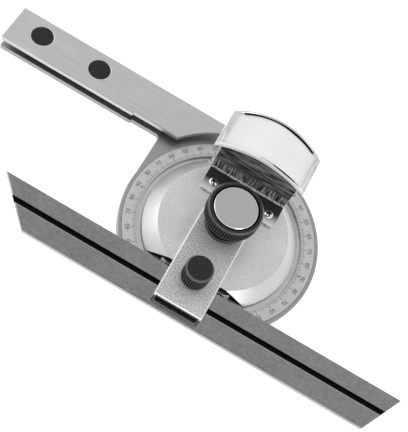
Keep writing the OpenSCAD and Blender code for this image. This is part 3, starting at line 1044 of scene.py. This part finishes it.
def make_lock_knob():
    """The ribbed knob on the pivot, with a recess in its top for the silver disc."""
    radius = LOCK_HIGH.x
    low = LOCK_LOW.z
    high = LOCK_HIGH.z
    seat = CAP_LOW.z
    bore = 3.46
    recess = 8.05
    base_r = 7.5
    neck_r = base_r - 0.7
    neck_z = low + 1.2
    grip_z = 15.8
    rim_z = high - 0.6
    profile = [(bore, low), (base_r, low), (base_r, low + 0.9), (base_r - 0.3, neck_z)]
    profile += [(neck_r, neck_z), (neck_r, grip_z), (radius - 0.4, grip_z)]
    profile += [(radius, grip_z + 1.2), (radius, grip_z + 1.3), (radius, rim_z - 0.05), (radius, rim_z)]
    profile += [(radius - 0.6, high), (recess, high), (recess, seat), (bore, seat)]
    profile = softened(profile, 0.05, steps=2)
    teeth = 66
    grip = ribbed(teeth, 0.3, grip_z - 0.1, rim_z - 0.02, radius - 0.5)
    knob = lathe("lock_knob_grip", profile, steps=teeth * KNURL_STEPS, closed=True, knurl=grip)

    def part(normal, centre):
        """0 for the ribs, 1 for the top, 2 for the hollows, painted black as painted shade, 3 for the
        chamfers with a painted highlight.
        """
        reach = math.hypot(centre.x, centre.y)
        outside_recess = reach > recess + 0.05
        if centre.z > high - 0.03 and outside_recess:
            return 1
        on_rim = centre.z > rim_z + 0.02 and outside_recess
        if on_rim or neck_z - 0.28 < centre.z < neck_z - 0.02:
            return 3
        in_recess = reach < recess + 0.03 and centre.z > seat - 0.1
        in_neck = neck_z - 0.1 < centre.z < grip_z + 0.1
        in_valley = centre.z > grip_z + 1.1 and reach < radius - 0.14 and normal.z < 0.5
        return 2 if in_recess or in_neck or in_valley else 0

    # The recess, the neck and the valleys between the ribs are painted shade. The chamfers carry a painted
    # highlight.
    paint_faces(knob, part)
    finishes = (BLACK_GRIP, KNOB_TOP, PAINTED_SHADE_BLACK, KNOB_EDGE_HIGHLIGHT)
    fitted(knob, "lock_knob", "black_knob", ["lock_knob"], *finishes)
    make_lock_knob_disc(seat)


def make_lock_knob_disc(seat):
    """The silver disc in the lock knob's top."""
    radius = CAP_HIGH.x
    top = CAP_HIGH.z
    chamfer = 0.25
    profile = [(0, seat), (radius, seat), (radius, top - chamfer), (radius - chamfer, top), (0, top)]
    disc = lathe("lock_knob_disc", softened(profile, 0.06, closed=False))

    def part(normal, centre):
        """0 for the top, 1 for its chamfer, 2 for the side, painted black as painted shade in the gap round
        the disc.
        """
        if centre.z < top - chamfer - 0.01:
            return 2
        return 0 if normal.z > 0.99 else 1

    # The side of the disc is painted black: painted shade in the gap round it.
    paint_faces(disc, part)
    fitted(disc, "lock_knob", "cap_steel", ["lock_knob_cap"], CAP_STEEL, SCREW_STEEL, PAINTED_SHADE_BLACK)


def finish_hidden_nodes():
    """CAD nodes that stay, mostly inside the assembly, get their metals."""
    metals = {
        "pivot_stud": DARK_STEEL,
        "pivot_bush": BRONZE,
        "arm_dowels": DARK_STEEL,
        "clamp_jaw": DARK_STEEL,
        "clamp_screw": DARK_STEEL,
    }
    for node, metal in metals.items():
        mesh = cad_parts[node].data
        mesh.materials.clear()
        mesh.materials.append(metal)


# Studio


def make_camera():
    """The photo's camera, as fitted to its circles and straight edges. Gives the direction towards it."""
    camera = bpy.data.objects.new("camera", bpy.data.cameras.new("camera"))
    bpy.context.scene.collection.objects.link(camera)
    right = Vector((0.86334, 0.437644, 0.251222))
    down = Vector((0.504539, -0.757703, -0.413916))
    ahead = Vector((0.009204, 0.484101, -0.874964))
    turn = Matrix((right, -down, -ahead)).transposed().to_4x4()
    camera.matrix_world = Matrix.Translation((-0.01033, -0.142184, 0.26364)) @ turn
    camera.data.lens = 72.363
    camera.data.sensor_width = 36
    camera.data.clip_start = 0.01
    camera.data.clip_end = 20
    bpy.context.scene.camera = camera
    return -ahead


def make_world(to_camera):
    """A white studio that is greyer overhead, with a dark patch where the camera stands."""
    overhead = 0.75
    patch_light = 0.07
    patch_inner = math.radians(12)
    patch_outer = math.radians(24)
    world = bpy.data.worlds.new("studio")
    bpy.context.scene.world = world
    world.use_nodes = True
    tree = world.node_tree
    background = tree.nodes["Background"]
    direction = tree.nodes.new("ShaderNodeTexCoord").outputs["Generated"]
    parts = tree.nodes.new("ShaderNodeSeparateXYZ")
    tree.links.new(direction, parts.inputs["Vector"])
    height = tree.nodes.new("ShaderNodeValToRGB")
    height.color_ramp.elements[0].position = 0.0
    height.color_ramp.elements[0].color = (*grey(1.0), 1)
    height.color_ramp.elements[1].position = 1.0
    height.color_ramp.elements[1].color = (*grey(overhead), 1)
    tree.links.new(parts.outputs["Z"], height.inputs["Fac"])
    facing = tree.nodes.new("ShaderNodeVectorMath")
    facing.operation = "DOT_PRODUCT"
    facing.inputs[1].default_value = to_camera
    tree.links.new(direction, facing.inputs[0])
    patch = tree.nodes.new("ShaderNodeMapRange")
    patch.interpolation_type = "SMOOTHSTEP"
    patch.inputs["From Min"].default_value = math.cos(patch_outer)
    patch.inputs["From Max"].default_value = math.cos(patch_inner)
    patch.inputs["To Min"].default_value = 1.0
    patch.inputs["To Max"].default_value = patch_light
    tree.links.new(facing.outputs["Value"], patch.inputs["Value"])
    tree.links.new(height.outputs["Color"], background.inputs["Color"])
    tree.links.new(patch.outputs["Result"], background.inputs["Strength"])


def make_floor():
    """A white floor with a glow of its own, just under the dial."""
    reach = 3000
    top = -0.05
    glow = 0.85
    floor = plate("floor", [circle(reach)], [(-2, 0), (top, 0)])
    finish = Finish("white_floor")
    clouds = finish.noise(even(400), 1.0)
    colour = finish.blend(clouds, grey(0.5), grey(0.52))
    finish.link(colour, finish.shader.inputs["Base Color"])
    finish.shader.inputs["Roughness"].default_value = 0.9
    finish.shader.inputs["Emission Color"].default_value = (1, 1, 1, 1)
    finish.shader.inputs["Emission Strength"].default_value = glow
    floor.data.materials.append(finish.material)


def make_softbox(name, place, size, power):
    """A square light that faces the origin. Metres and watts."""
    light = bpy.data.lights.new(name, "AREA")
    light.size = size
    light.energy = power
    box = bpy.data.objects.new(name, light)
    bpy.context.scene.collection.objects.link(box)
    box.location = place
    box.rotation_euler = (-Vector(place)).to_track_quat("-Z", "Y").to_euler()


make_dial_body()
make_stock()
make_dial_ring()
make_dial_marks()
make_back_cover()
make_turret()
make_arm()
make_vernier()
make_bracket()
make_magnifier()
make_washers()
make_blade()
make_clamp_knob()
make_lock_knob()
finish_hidden_nodes()

make_world(make_camera())
make_floor()
make_softbox("left_softbox", place=(-0.7, 0.1, 0.5), size=0.5, power=1.4)
make_softbox("right_softbox", place=(0.6, -0.5, 0.35), size=0.4, power=0.9)
bpy.context.scene.view_settings.view_transform = "Standard"
